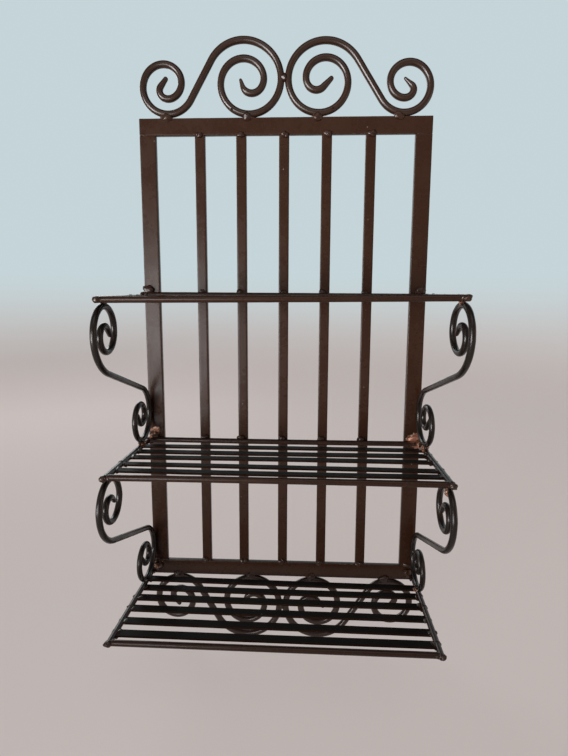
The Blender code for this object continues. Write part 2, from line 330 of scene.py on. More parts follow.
def edge_rub_group():
    """Build the group for paint rubbed off edges: a mask that breaks up along the edge."""
    tree, start, end = new_group(
        "edge_rub",
        [("Place", "NodeSocketVector"), ("Edge", "NodeSocketFloat")],
        [("Mask", "NodeSocketFloat")],
    )
    chips = cloud(tree, start.outputs["Place"], 170.0, 5.0, 0.62)
    patches = cloud(tree, start.outputs["Place"], 17.0, 2.0)
    broken = mix_value(tree, 0.45, chips, patches)
    reach = sums(tree, "MULTIPLY", start.outputs["Edge"], 0.5)
    mask = step_between(tree, sums(tree, "ADD", broken, reach), 1.03, 1.09)
    tree.links.new(mask, end.inputs["Mask"])
    return tree


def rust_and_glint_group():
    """Build the group for bare metal at a weld: rust with pale flecks that are painted glints, and pits,
    or smooth copper.
    """
    tree, start, end = new_group(
        "rust_bloom",
        [("Place", "NodeSocketVector"), ("Rust", "NodeSocketFloat")],
        [("Mask", "NodeSocketFloat"), ("Colour", "NodeSocketColor"), ("Pits", "NodeSocketFloat")],
    )
    place = start.outputs["Place"]
    rust = start.outputs["Rust"]
    blots = cloud(tree, place, 240.0, 5.0, 0.62)
    ragged = sums(tree, "MULTIPLY", sums(tree, "SUBTRACT", blots, 0.5), 1.2)
    mask = step_between(tree, sums(tree, "ADD", rust, ragged), 0.42, 0.58)
    shade = cloud(tree, place, 430.0, 4.0, 0.6)
    brown = mix_colour(tree, step_between(tree, shade, 0.34, 0.54), RUST_BROWN, RUST_ORANGE)
    # Pale flecks on the rust are painted glints on bare metal
    glint_flecked = mix_colour(tree, step_between(tree, shade, 0.55, 0.64), brown, PAINTED_GLINT_FLECK)
    smooth = sums(tree, "MULTIPLY", step_between(tree, rust, 0.80, 1.05), 0.85)
    colour = mix_colour(tree, smooth, glint_flecked, BARE_COPPER)
    rough = sums(tree, "SUBTRACT", 1.0, smooth)
    pits = sums(tree, "MULTIPLY", cloud(tree, place, 900.0, 3.0, 0.6), rough)
    for label, socket in (("Mask", mask), ("Colour", colour), ("Pits", pits)):
        tree.links.new(socket, end.inputs[label])
    return tree


def settled_dust_group():
    """Build the group for dust that lies on what faces up."""
    tree, start, end = new_group(
        "settled_dust", [("Place", "NodeSocketVector")], [("Mask", "NodeSocketFloat")]
    )
    normal = put(tree, "ShaderNodeNewGeometry", {}).outputs["Normal"]
    upward = put(tree, "ShaderNodeSeparateXYZ", {"Vector": normal}).outputs["Z"]
    drift = step_between(tree, cloud(tree, start.outputs["Place"], 55.0, 4.0), 0.34, 0.72)
    mask = sums(tree, "MULTIPLY", step_between(tree, upward, 0.45, 1.0), drift)
    tree.links.new(mask, end.inputs["Mask"])
    return tree


ENAMEL_SKIN = enamel_skin_group()
EDGE_RUB = edge_rub_group()
RUST_AND_GLINTS = rust_and_glint_group()
SETTLED_DUST = settled_dust_group()


def painted_iron(name, dark, light, lit_edge_tone, gloss, shine, ripple_depth, dust):
    """Make an enamel over iron, with mottling, rubbed edges, rust with painted glints at the welds, and
    a little dust.
    """
    material = bpy.data.materials.new(name)
    material.use_nodes = True
    tree = material.node_tree
    shader = tree.nodes["Principled BSDF"]
    shader.inputs["Specular IOR Level"].default_value = shine
    place = put(tree, "ShaderNodeTexCoord", {}).outputs["Object"]
    edge = put(tree, "ShaderNodeAttribute", {}, attribute_name="edge").outputs["Fac"]
    rust_near = put(tree, "ShaderNodeAttribute", {}, attribute_name="rust").outputs["Fac"]
    skin = put(tree, "ShaderNodeGroup", {}, node_tree=ENAMEL_SKIN)
    rub = put(tree, "ShaderNodeGroup", {}, node_tree=EDGE_RUB)
    rust = put(tree, "ShaderNodeGroup", {}, node_tree=RUST_AND_GLINTS)
    lying = put(tree, "ShaderNodeGroup", {}, node_tree=SETTLED_DUST)
    for group in (skin, rub, rust, lying):
        tree.links.new(place, group.inputs["Place"])
    tree.links.new(edge, rub.inputs["Edge"])
    tree.links.new(rust_near, rust.inputs["Rust"])
    dusted = sums(tree, "MULTIPLY", lying.outputs["Mask"], dust)

    colour = mix_colour(tree, skin.outputs["Tone"], (*dark, 1.0), (*light, 1.0))
    # The edge tone brings back the lighter brown at edges and rod ends: on the slats this is painted
    # light along their edges
    colour = mix_colour(tree, edge, colour, (*lit_edge_tone, 1.0))
    colour = mix_colour(tree, skin.outputs["Specks"], colour, SPECK_PALE)
    colour = mix_colour(tree, rub.outputs["Mask"], colour, RUBBED_STEEL)
    colour = mix_colour(tree, dusted, colour, DUST_GREY)
    colour = mix_colour(tree, rust.outputs["Mask"], colour, rust.outputs["Colour"])
    tree.links.new(colour, shader.inputs["Base Color"])

    sheen = mix_value(tree, skin.outputs["Tone"], gloss, gloss + GLOSS_SPREAD)
    sheen = mix_value(tree, rub.outputs["Mask"], sheen, RUBBED_ROUGHNESS)
    sheen = mix_value(tree, dusted, sheen, DUST_ROUGHNESS)
    sheen = mix_value(tree, rust.outputs["Mask"], sheen, RUST_ROUGHNESS)
    tree.links.new(sheen, shader.inputs["Roughness"])
    bare = sums(tree, "MULTIPLY", rub.outputs["Mask"], RUBBED_METAL)
    bare = mix_value(tree, rust.outputs["Mask"], bare, RUST_METAL)
    tree.links.new(bare, shader.inputs["Metallic"])

    rippled = sums(tree, "MULTIPLY", skin.outputs["Ripple"], ripple_depth)
    pitted = sums(tree, "MULTIPLY", rust.outputs["Pits"], rust.outputs["Mask"])
    height = sums(tree, "ADD", rippled, sums(tree, "MULTIPLY", pitted, PIT_DEPTH))
    inputs = {"Strength": 1.0, "Distance": MM, "Height": height}
    bump = put(tree, "ShaderNodeBump", inputs)
    tree.links.new(bump.outputs["Normal"], shader.inputs["Normal"])
    return material


# One brown enamel on every piece, darker on the rods and slats. Each row gives the dark, light and edge
# tones, the roughness, the shine, the depth of the ripple, and the dust.
BROWN_DARK = (0.0365, 0.0134, 0.0062)
BROWN_LIGHT = (0.0410, 0.0164, 0.0080)
ROD_DARK = (0.028, 0.0105, 0.0050)
ROD_LIGHT = (0.033, 0.0134, 0.0067)
# The brackets' tones are the brown enamel darkened as painted shade, for brackets that get less of the
# front light
BRACKET_PAINTED_SHADE_DARK = (0.0094, 0.0056, 0.0041)
BRACKET_PAINTED_SHADE_LIGHT = (0.0128, 0.0077, 0.0055)
# The slats' near-black tones are the brown enamel darkened as painted shade, for tops that get little
# light
SLAT_PAINTED_SHADE_DARK = (0.0088, 0.0066, 0.0057)
SLAT_PAINTED_SHADE_LIGHT = (0.0122, 0.0092, 0.0079)
PAINT = {
    "panel": painted_iron("panel_enamel", BROWN_DARK, BROWN_LIGHT, BROWN_LIGHT, 0.24, 0.26, 0.030, 0.08),
    "scroll": painted_iron("scroll_enamel", ROD_DARK, ROD_LIGHT, ROD_LIGHT, 0.24, 0.50, 0.006, 0.04),
    "shelf": painted_iron("shelf_enamel", ROD_DARK, ROD_LIGHT, ROD_LIGHT, 0.24, 0.28, 0.014, 0.03),
    # Slats: painted shade on the faces, and the brown edge tone as painted light along their edges
    "slat": painted_iron("slat_enamel", SLAT_PAINTED_SHADE_DARK, SLAT_PAINTED_SHADE_LIGHT, BROWN_LIGHT, 0.50, 0.04, 0.030, 0.01),
    # Brackets: a darker copy of the brown, as painted shade
    "bracket": painted_iron("bracket_enamel", BRACKET_PAINTED_SHADE_DARK, BRACKET_PAINTED_SHADE_LIGHT, ROD_LIGHT, 0.22, 0.36, 0.006, 0.03),
    "weld": painted_iron("weld_enamel", ROD_DARK, BROWN_LIGHT, BROWN_LIGHT, 0.24, 0.40, 0.050, 0.04),
}


# Meshes

SHARP_ANGLE = math.radians(55)
RUST_FADE = 1.35


def smooth_share(value):
    """Ease a share from 0 to 1 in and out."""
    value = min(1.0, max(0.0, value))
    return value * value * (3.0 - 2.0 * value)


def mark_rust(bm):
    """Give each vertex a share of rust, which is gone at RUST_FADE times a bare spot's reach."""
    layer = bm.verts.layers.float.new("rust")
    for vert in bm.verts:
        share = 0.0
        for place, reach, strength in RUST_SPOTS:
            away = (vert.co / MM - place).length
            share = max(share, strength * smooth_share(RUST_FADE - away / reach))
        vert[layer] = share


def wave(bm, amount, per_metre):
    """Move the vertices in and out by a little noise, so that no surface is dead flat."""
    bm.normal_update()
    for vert in bm.verts:
        vert.co += vert.normal * (amount * MM * noise.noise(vert.co * per_metre))


def add_piece(name, bm, finish, nodes):
    """Turn a bmesh into a smooth piece that rides on the shelf and stands for its CAD nodes."""
    bmesh.ops.recalc_face_normals(bm, faces=bm.faces)
    mesh = bpy.data.meshes.new(name)
    bm.to_mesh(mesh)
    bm.free()
    mesh.shade_smooth()
    mesh.set_sharp_from_angle(angle=SHARP_ANGLE)
    mesh.materials.append(PAINT[finish])
    piece = bpy.data.objects.new(name, mesh)
    bpy.context.scene.collection.objects.link(piece)
    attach(piece, "root")
    if nodes:
        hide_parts(*nodes)


def cut_strip(size, length_axis, width_axis, edge_round, edge_strip, cell):
    """Start a flat strip about the origin: rounded edges, and cuts that carry its waves and wear."""
    bm = bmesh.new()
    bmesh.ops.create_cube(bm, size=1.0)
    bmesh.ops.scale(bm, vec=size * MM, verts=bm.verts)
    bmesh.ops.bevel(
        bm,
        geom=bm.edges[:],
        offset=edge_round * MM,
        offset_type="OFFSET",
        affect="EDGES",
        segments=3,
        profile=0.5,
        material=-1,
    )
    inner = size[width_axis] / 2 - edge_strip
    across = max(2, round(2 * inner / cell))
    cuts = [(width_axis, -inner + 2 * inner * index / across) for index in range(across + 1)]
    span = size[length_axis] - 2 * edge_strip
    along = round(span / cell)
    cuts += [(length_axis, span * (index / along - 0.5)) for index in range(along + 1)]
    for axis, offset in cuts:
        direction = Vector((0.0, 0.0, 0.0))
        direction[axis] = 1.0
        bmesh.ops.bisect_plane(
            bm,
            geom=bm.verts[:] + bm.edges[:] + bm.faces[:],
            plane_co=direction * (offset * MM),
            plane_no=direction,
        )
    layer = bm.verts.layers.float.new("edge")
    for vert in bm.verts:
        inset = sorted(size[axis] / 2 - abs(vert.co[axis]) / MM for axis in range(3))
        vert[layer] = 1.0 - smooth_share(math.hypot(inset[0], inset[1]) / edge_strip)
    return bm


def flat_bar(name, low, high, length_axis):
    """Build a bar of the panel between two opposite corners, with slightly uneven faces."""
    low, high = Vector(low), Vector(high)
    bm = cut_strip(high - low, length_axis, 2 - length_axis, BAR_ROUND, BAR_EDGE_STRIP, BAR_CELL)
    bmesh.ops.translate(bm, vec=(low + high) / 2 * MM, verts=bm.verts)
    wave(bm, BAR_WAVE, BAR_WAVES_PER_METRE)
    mark_rust(bm)
    add_piece(f"painted_{name}", bm, "panel", [name])


def shelf_slat(node, start, end, bow):
    """Build one slat between two points of its axis, a little bowed and rolled."""
    along = end - start
    size = Vector((along.length, SLAT_WIDTH, SLAT_THICKNESS))
    bm = cut_strip(size, 0, 1, SLAT_ROUND, SLAT_EDGE_STRIP, SLAT_CELL)
    for vert in bm.verts:
        vert.co.z += bow * MM * math.cos(math.pi * vert.co.x / (along.length * MM))
    roll = Matrix.Rotation(HAND.uniform(-1.0, 1.0) * SLAT_ROLL, 4, "X")
    turn = Vector((1.0, 0.0, 0.0)).rotation_difference(along).to_matrix().to_4x4()
    place = Matrix.Translation((start + end) / 2 * MM)
    bmesh.ops.transform(bm, matrix=place @ turn @ roll, verts=bm.verts)
    wave(bm, SLAT_WAVE, SLAT_WAVES_PER_METRE)
    mark_rust(bm)
    add_piece(f"painted_{node}", bm, "slat", [node])


def walk(bends, heading_degrees):
    """Follow straights and easing bends from (0, 0), and return close points of the centreline."""
    place = Vector((0.0, 0.0))
    heading = math.radians(heading_degrees)
    points = [place.copy()]
    for bend in bends:
        if isinstance(bend, Straight):
            first, last, side, length = 0.0, 0.0, 1.0, bend.length
        else:
            first, last = 1.0 / bend.first_radius, 1.0 / bend.last_radius
            side = math.copysign(1.0, bend.degrees)
            length = 2.0 * math.radians(abs(bend.degrees)) / (first + last)
        steps = math.ceil(length / WALK_STEP)
        step = length / steps
        for index in range(steps):
            turn = side * (first + (last - first) * (index + 0.5) / steps) * step
            middle = heading + turn / 2
            place = place + Vector((math.cos(middle), math.sin(middle))) * step
            heading += turn
            points.append(place.copy())
    return points


def ring_distances(total, end_round, step):
    """Say how far along a rod its rings stand: close together where the ends round off."""
    end = [end_round * share for share in END_RINGS]
    count = max(2, math.ceil((total - 2 * end_round) / step))
    body = [end_round + (total - 2 * end_round) * index / count for index in range(1, count)]
    return end + body + [total - distance for distance in reversed(end)]


def rod_size(to_end, end_round, tip):
    """Say how thick a rod is at a distance from its end, as a share of its radius."""
    drawn = tip + (1.0 - tip) * smooth_share(to_end / TIP_TAPER_LENGTH)
    missing = 1.0 - min(1.0, to_end / end_round)
    rounding = math.sqrt(max(0.0, 1.0 - missing * missing))
    corner = END_CORNER["forged" if tip < 1.0 else "cut"]
    return drawn * (corner + (1.0 - corner) * rounding)


def sweep_rod(bm, points, across, radius, sides, step, end_round, tips):
    """Extrude a ring along a centreline, and close it at both ends."""
    travelled = [0.0]
    for before, after in zip(points, points[1:]):
        travelled.append(travelled[-1] + (after - before).length)
    total = travelled[-1]
    stations = []
    for distance in ring_distances(total, end_round, step):
        index = min(len(points) - 2, max(0, bisect.bisect_right(travelled, distance) - 1))
        share = (distance - travelled[index]) / (travelled[index + 1] - travelled[index])
        place = points[index].lerp(points[index + 1], share)
        along = points[min(index + 2, len(points) - 1)] - points[max(index - 1, 0)]
        side = across.normalized()
        up = along.normalized().cross(side)
        tip = tips[0] if distance < total / 2 else tips[1]
        size = radius * rod_size(min(distance, total - distance), end_round, tip)
        turn = Matrix((side, up, side.cross(up))).transposed().to_4x4()
        stations.append(Matrix.Translation(place * MM) @ turn @ Matrix.Scale(size * MM, 4))
    made = bmesh.ops.create_circle(
        bm, cap_ends=True, segments=sides, radius=1.0, matrix=stations[0]
    )
    ring = {edge for vert in made["verts"] for edge in vert.link_edges}
    for before, after in zip(stations, stations[1:]):
        made = bmesh.ops.extrude_edge_only(bm, edges=list(ring))["geom"]
        verts = {item for item in made if isinstance(item, bmesh.types.BMVert)}
        ring = {edge for vert in verts for edge in vert.link_edges if set(edge.verts) <= verts}
        bmesh.ops.transform(bm, matrix=after @ before.inverted(), verts=list(verts))
    bmesh.ops.contextual_create(bm, geom=list(ring))


def mark_rod_ends(bm, places):
    """Mark the ends of a rod as edges, where paint wears first."""
    layer = bm.verts.layers.float.new("edge")
    for vert in bm.verts:
        away = min((vert.co / MM - place).length for place in places)
        vert[layer] = 1.0 - smooth_share(away / END_WEAR_REACH)


def round_rod(node, points, across, radius, finish, tips):
    """Build one round rod along a centreline and put it in the place of its CAD node."""
    forged = tips != CUT_ENDS
    bm = bmesh.new()
    sweep_rod(
        bm,
        points,
        across,
        radius,
        SCROLL_SIDES if forged else SHELF_ROD_SIDES,
        SCROLL_RING_STEP if forged else SHELF_RING_STEP,
        FORGED_TIP_ROUND if forged else CUT_END_ROUND,
        tips,
    )
    mark_rod_ends(bm, (points[0], points[-1]))
    wave(bm, ROD_WAVE[finish], ROD_WAVES_PER_METRE)
    mark_rust(bm)
    add_piece(f"painted_{node}", bm, finish, [node])


# Where things are

def crest_profile(side):
    """Return one crest scroll's points: X from the centre and height above the rail."""
    points = walk(CREST_BENDS[side], CREST_START_HEADING[side])
    inner = max(point.x for point in points)
    lowest = min(point.y for point in points)
    shift = Vector((-CREST_GAP_TO_CENTRE - inner, SCROLL_ROD_RADIUS - lowest))
    return [point + shift for point in points]


def shelf_reach(shelf):
    """Return how far a shelf's side rods stand out from the panel's face."""
    return shelf.bars[-1].left_depth + FRONT_OVERHANG


def side_rod_point(shelf, side, depth):
    """Return a point of a side rod's axis at a depth in front of the panel's face."""
    rod = shelf.left if side == "left" else shelf.right
    back = Vector((rod.back_x, PANEL_FRONT_Y, rod.back_z))
    front = Vector((rod.front_x, PANEL_FRONT_Y - shelf_reach(shelf), rod.front_z))
    return back.lerp(front, depth / shelf_reach(shelf))


def bar_end(shelf, side, bar):
    """Return the point of a side rod's axis that a cross bar runs to."""
    if side == "left":
        return side_rod_point(shelf, side, bar.left_depth) + bar.left_lift * UPWARD
    return side_rod_point(shelf, side, bar.right_depth) + bar.right_lift * UPWARD


def bracket_profile(size):
    """Return the S centreline about its middle: forward and up, from the top tip to the foot tip."""
    upper = [size * point for point in walk(BRACKET_UPPER_HALF, BRACKET_HEADING)]
    lower = [-size * point for point in walk(BRACKET_LOWER_HALF, BRACKET_HEADING)]
    return list(reversed(upper)) + lower[1:]


def bracket_points(bracket):
    """Return a bracket's centreline in place, and the direction square to its plane."""
    profile = bracket_profile(bracket.size)
    side = bracket.name.split("_")[1]
    top = max(profile, key=lambda point: point.y)
    front_reach = max(point.x for point in profile)
    back_reach = -min(point.x for point in profile)
    middle_depth = SHELF_ROD_RADIUS + JOINT_GAP + back_reach
    lean = (bracket.front_x - bracket.back_x) / (front_reach + back_reach)
    middle_x = bracket.back_x + lean * back_reach
    held = side_rod_point(SHELVES[bracket.upper_shelf], side, middle_depth + top.x)
    beside = middle_x + lean * top.x - held.x
    below = math.sqrt(ROD_SPACING**2 - beside**2)
    middle = Vector((middle_x, PANEL_FRONT_Y - middle_depth, held.z - below - top.y))
    forward = Vector((lean, -1.0, 0.0)).normalized()
    kept = profile[round(bracket.top_trim / WALK_STEP):]
    points = [middle + forward * point.x + UPWARD * point.y for point in kept]
    return points, UPWARD.cross(forward)


BRACKET_LINES = {bracket.name: bracket_points(bracket) for bracket in BRACKETS}


def bracket_touches(bracket):
    """Return where a bracket meets the rod above, the stile, and the rod below."""
    points = BRACKET_LINES[bracket.name][0]
    side = bracket.name.split("_")[1]
    top = max(points, key=lambda point: point.z)
    back = max(points, key=lambda point: point.y)
    foot = min(points, key=lambda point: point.z)
    above = side_rod_point(SHELVES[bracket.upper_shelf], side, PANEL_FRONT_Y - top.y)
    below = side_rod_point(SHELVES[bracket.lower_shelf], side, PANEL_FRONT_Y - foot.y)
    return (top + above) / 2, Vector((back.x, PANEL_FRONT_Y, back.z)), (foot + below) / 2


TOUCHES = {bracket.name: bracket_touches(bracket) for bracket in BRACKETS}

# A bare lump of weld in front of and below the lower right bracket's top
BARE_LUMP = TOUCHES["lower_right"][0] + Vector((-1.2, -7.0, -6.5))

# Bare metal that shows at some welds: its middle, how far it reaches, and how bare it is
RUST_SPOTS = [
    (Vector((160.0, -6.35, -356.5)), 6.0, 1.20),
    (Vector((155.0, -6.35, -361.0)), 7.0, 1.30),
    (Vector((150.0, -6.35, -363.8)), 5.0, 1.20),
    (Vector((163.5, -8.0, -366.0)), 8.0, 1.10),
    (Vector((-157.5, -6.35, -353.5)), 8.5, 0.66),
    (Vector((-163.0, -8.0, -361.0)), 6.0, 0.78),
    (Vector((-158.5, -6.35, -529.5)), 9.0, 0.52),
    (TOUCHES["upper_right"][0], 5.0, 1.00),
    (TOUCHES["lower_right"][0], 5.0, 0.85),
    (BARE_LUMP, 5.0, 1.15),
    (TOUCHES["upper_left"][2], 6.5, 0.90),
    (TOUCHES["upper_right"][2], 6.5, 0.95),
    (TOUCHES["lower_right"][2], 7.0, 0.80),
    (TOUCHES["lower_left"][2], 5.0, 0.50),
]


def build_panel():
    """Build the rails, stiles and pickets."""
    for name, low_z in (("top_rail", -HALF_BAR), ("bottom_rail", PANEL_BOTTOM_Z)):
        low = (-HALF_WIDTH, PANEL_FRONT_Y, low_z)
        flat_bar(name, low, (HALF_WIDTH, 0, low_z + BAR_WIDTH), 0)
    uprights = [("left_stile", -STILE_CENTRE, BAR_WIDTH), ("right_stile", STILE_CENTRE, BAR_WIDTH)]
    for number, centre in enumerate(PICKET_CENTRES, start=1):
        uprights.append((f"picket_{number}", centre, PICKET_WIDTH))
    for name, centre, width in uprights:
        low = (centre - width / 2, PANEL_FRONT_Y, UPRIGHT_BOTTOM_Z)
        flat_bar(name, low, (centre + width / 2, 0, UPRIGHT_TOP_Z), 2)


def build_scroll_pairs():
    """Build the crest on the top rail and the same pair, upside down, under the bottom rail."""
    for side, mirror in (("left", 1.0), ("right", -1.0)):
        profile = crest_profile(side)
        for place, edge_z, up in (("crest", PANEL_TOP_Z, 1.0), ("drop", PANEL_BOTTOM_Z, -1.0)):
            points = [Vector((mirror * p.x, SCROLL_Y, edge_z + up * p.y)) for p in profile]
            node = f"{place}_scroll_{side}"
            round_rod(node, points, ACROSS_PANEL, SCROLL_ROD_RADIUS, "scroll", CREST_TIPS[side])


def build_shelves():
    """Build each shelf's two side rods and the cross bars between them."""
    butt = Vector((SHELF_ROD_RADIUS - END_BITE, 0.0, 0.0))
    for shelf in SHELVES:
        reach = shelf_reach(shelf)
        for side in ("left", "right"):
            line = [side_rod_point(shelf, side, depth) for depth in (0.0, reach / 2, reach)]
            node = f"{shelf.name}_shelf_side_{side}"
            round_rod(node, line, UPWARD, SHELF_ROD_RADIUS, "shelf", CUT_ENDS)
        for number, bar in enumerate(shelf.bars, start=1):
            node = f"{shelf.name}_shelf_bar_{number}"
            start = bar_end(shelf, "left", bar) + butt
            end = bar_end(shelf, "right", bar) - butt
            bow = bar.bow + HAND.uniform(-1.0, 1.0) * CHANCE_BOW
            if isinstance(bar, Slat):
                shelf_slat(node, start, end, bow)
                continue
            line = []
            for index in range(BOWED_ROD_STEPS + 1):
                share = index / BOWED_ROD_STEPS
                lift = bow * math.sin(math.pi * share)
                line.append(start.lerp(end, share) + lift * UPWARD)
            round_rod(node, line, UPWARD, SHELF_ROD_RADIUS, "shelf", CUT_ENDS)


def build_brackets():
    """Build the S-scroll side brackets."""
    for bracket in BRACKETS:
        points, across = BRACKET_LINES[bracket.name]
        round_rod(f"bracket_{bracket.name}", points, across, SHELF_ROD_RADIUS, "bracket", bracket.tips)


# Welds: a lump stands a step away from where it starts, and has radii along X, Y and Z. Two numbers
# in the place of one are a range that chance picks from.

Lump = namedtuple("Lump", "step radii")
LUMP_SWELL = 0.30
LUMP_SWELL_WAVES = 1.3
LUMP_BUMPS = 0.07
LUMP_BUMP_WAVES = 3.6
LUMP_RIPPLE = 0.022
LUMP_RIPPLE_WAVES = 9.0
LUMP_TURN = (0.3, 0.5, 0.3)

# Where the scrolls stand on their rails, how far from the rail each pair meets, and tacks on the crest
CREST_WELD_PLACES = (-133.5, -40.8, 36.4, 127.6)
CREST_WELD_Y = -5.2
CREST_WELD_RISE = 0.4
CREST_WELD_RADII = ((6.0, 7.2), 4.0, (5.0, 6.0))
CENTRE_WELD_X = -0.3
CENTRE_WELD_Y = SCROLL_Y - 1.0
CENTRE_WELD_HEIGHT = 41.6
CENTRE_WELD_RADII = (4.2, 3.9, 4.8)
TACK_PLACES = ((-59.7, -8.6, 17.1), (52.9, -8.6, 17.5))
TACK_RADII = (1.6, 1.0, 1.3)

# Panel: a lump on each end of a picket and a small one beside it, and flat beads on the stiles' ends
PICKET_TOP_LUMP = Lump(((-1.5, 1.0), -6.7, 0.2), ((4.0, 5.0), 2.3, 3.3))
PICKET_TOP_DROP = Lump(((-3.4, 2.4), -0.5, (-1.4, 2.2)), ((2.2, 3.4), 2.1, (2.0, 2.8)))
PICKET_FOOT_LUMP = Lump(((-3.0, -1.0), -6.6, 0.8), ((3.4, 4.6), 2.2, 3.4))
PICKET_FOOT_DROP = Lump(((-1.6, 3.0), -0.4, (0.8, 2.8)), ((2.0, 3.0), 2.0, (2.0, 2.8)))
STILE_BEADS = (
    ((-STILE_CENTRE - 3.0, -6.4, UPRIGHT_BOTTOM_Z + 0.4), (6.0, 1.5, 2.6)),
    ((-STILE_CENTRE - 3.0, -5.7, UPRIGHT_TOP_Z), (6.0, 0.9, 1.2)),
    ((STILE_CENTRE - 1.0, -6.4, UPRIGHT_BOTTOM_Z + 0.4), (6.5, 1.5, 2.6)),
    ((STILE_CENTRE - 1.0, -5.7, UPRIGHT_TOP_Z), (6.5, 0.9, 1.2)),
)

# Shelf backs: a lump on each picket, and two at each side rod. Two of these differ from the rest.
BACK_LUMP_ASIDE = (-3.5, -0.5)
BACK_LUMP_Y = -8.2
BACK_LUMP_RISE = 3.4
BACK_LUMP_RADII = ((3.4, 4.6), 2.4, (2.6, 3.6))
STILE_LUMP = Lump((6.8, -8.4, 5.8), ((5.4, 6.6), 3.0, (4.4, 5.4)))
STILE_DROP = Lump((1.0, -7.6, -2.6), (3.2, 2.4, 2.6))
OTHER_STILE_LUMPS = {
    ("top", "left"): ((-159.6, -8.4, -182.2), (6.9, 3.6, 5.2)),
    ("middle", "right"): ((159.0, -6.6, -361.0), (8.4, 1.5, 6.4)),
}

# Cross bars: a bead on the side rod, a fillet on the bar, and a blob at the front corner
BAR_BEAD = Lump((-0.2, (-1.5, 1.5), (-0.3, 0.2)), (3.7, (3.4, 4.6), 3.1))
SLAT_FILLET = Lump((3.4, (-0.8, 0.8), (-0.4, 0.2)), ((2.8, 4.2), 6.4, 1.9))
ROD_FILLET = Lump((3.4, (-0.8, 0.8), (-0.4, 0.2)), ((2.8, 4.2), 3.6, 3.0))
CORNER_BLOB = Lump((-0.8, 0.0, 0.0), (3.8, 2.5, 3.1))
CORNER_BLOB_INSET = 1.2

# Brackets: at the rod above, at the stile, and at the rod below
BRACKET_TOP_RADII = (3.0, 4.8, 2.8)
BRACKET_BACK_RADII = (3.0, 2.4, 5.0)
LOWER_FOOT_RADII = (2.8, 4.6, 2.8)
UPPER_FOOT_RADII = (4.4, 6.0, 3.8)
BARE_LUMP_RADII = (3.8, 4.0, 3.6)


def by_chance(sizes):
    """Pick a value of each size that is a range, and keep the others."""
    return Vector([HAND.uniform(*size) if isinstance(size, tuple) else size for size in sizes])


def set_lump(lump, start, inward=1.0):
    """Return a lump's place and radii, with its step turned round on the right, where inward is -1."""
    step = by_chance(lump.step)
    step.x *= inward
    return start + step, by_chance(lump.radii)


def weld_lump(bm, place, radii, turn):
    """Add one lump of weld: a rounded mound with the ripples of its pool."""
    lump = bmesh.ops.create_icosphere(bm, subdivisions=3, radius=1.0)["verts"]
    seed = Vector((HAND.uniform(0, 90), HAND.uniform(0, 90), HAND.uniform(0, 90)))
    tilt = HAND.uniform(0.0, math.pi)
    for vert in lump:
        swell = LUMP_SWELL * noise.noise(vert.co * LUMP_SWELL_WAVES + seed)
        bumps = LUMP_BUMPS * noise.noise(vert.co * LUMP_BUMP_WAVES + seed)
        across = vert.co.x * math.cos(tilt) + vert.co.z * math.sin(tilt)
        vert.co *= 1.0 + swell + bumps + LUMP_RIPPLE * math.sin(LUMP_RIPPLE_WAVES * across)
    size = Matrix.Diagonal((*(Vector(radii) * MM), 1.0))
    spin = Euler(turn).to_matrix().to_4x4()
    bmesh.ops.transform(bm, matrix=Matrix.Translation(Vector(place) * MM) @ spin @ size, verts=lump)


def weld_piece(name, lumps, nodes=()):
    """Build a group of weld lumps as one piece."""
    bm = bmesh.new()
    for place, radii in lumps:
        turn = [HAND.uniform(-most, most) for most in LUMP_TURN]
        weld_lump(bm, place, radii, turn)
    bm.verts.layers.float.new("edge")
    mark_rust(bm)
    add_piece(name, bm, "weld", nodes)


def scroll_welds():
    """Weld the crest and the drop to the rails, and each pair together at the centre."""
    for name, edge_z, up in (("crest", PANEL_TOP_Z, 1.0), ("drop", PANEL_BOTTOM_Z, -1.0)):
        lumps = []
        for x in CREST_WELD_PLACES:
            place = (x, CREST_WELD_Y, edge_z + up * CREST_WELD_RISE)
            lumps.append((place, by_chance(CREST_WELD_RADII)))
        place = (CENTRE_WELD_X, CENTRE_WELD_Y, edge_z + up * CENTRE_WELD_HEIGHT)
        lumps.append((place, CENTRE_WELD_RADII))
        weld_piece(f"{name}_welds", lumps)
    weld_piece("scroll_tacks", [(place, TACK_RADII) for place in TACK_PLACES])


def panel_welds():
    """Weld the pickets and stiles to the rails, on the face of the panel."""
    tops, feet = [], []
    for centre in PICKET_CENTRES:
        tops.append(set_lump(PICKET_TOP_LUMP, Vector((centre, 0.0, UPRIGHT_TOP_Z))))
        tops.append(set_lump(PICKET_TOP_DROP, tops[-1][0]))
        feet.append(set_lump(PICKET_FOOT_LUMP, Vector((centre, 0.0, UPRIGHT_BOTTOM_Z))))
        feet.append(set_lump(PICKET_FOOT_DROP, feet[-1][0]))
    weld_piece("picket_top_welds", tops)
    weld_piece("picket_foot_welds", feet)
    weld_piece("stile_welds", STILE_BEADS)


def shelf_back_welds():
    """Weld each shelf to the panel: the back rods to the pickets, and the side rods to the stiles."""
    for shelf in SHELVES:
        lumps = []
        first = shelf.bars[0]
        left, right = bar_end(shelf, "left", first), bar_end(shelf, "right", first)
        for centre in PICKET_CENTRES if isinstance(first, Rod) else ():
            x = centre + HAND.uniform(*BACK_LUMP_ASIDE)
            height = left.lerp(right, (x - left.x) / (right.x - left.x)).z
            place = (x, BACK_LUMP_Y, height + BACK_LUMP_RISE)
            lumps.append((place, by_chance(BACK_LUMP_RADII)))
        for side, rod, inward in (("left", shelf.left, 1.0), ("right", shelf.right, -1.0)):
            start = Vector((rod.back_x, 0.0, rod.back_z))
            usual = set_lump(STILE_LUMP, start, inward)
            lumps.append(OTHER_STILE_LUMPS.get((shelf.name, side), usual))
            lumps.append(set_lump(STILE_DROP, start, inward))
        weld_piece(f"{shelf.name}_shelf_back_welds", lumps)


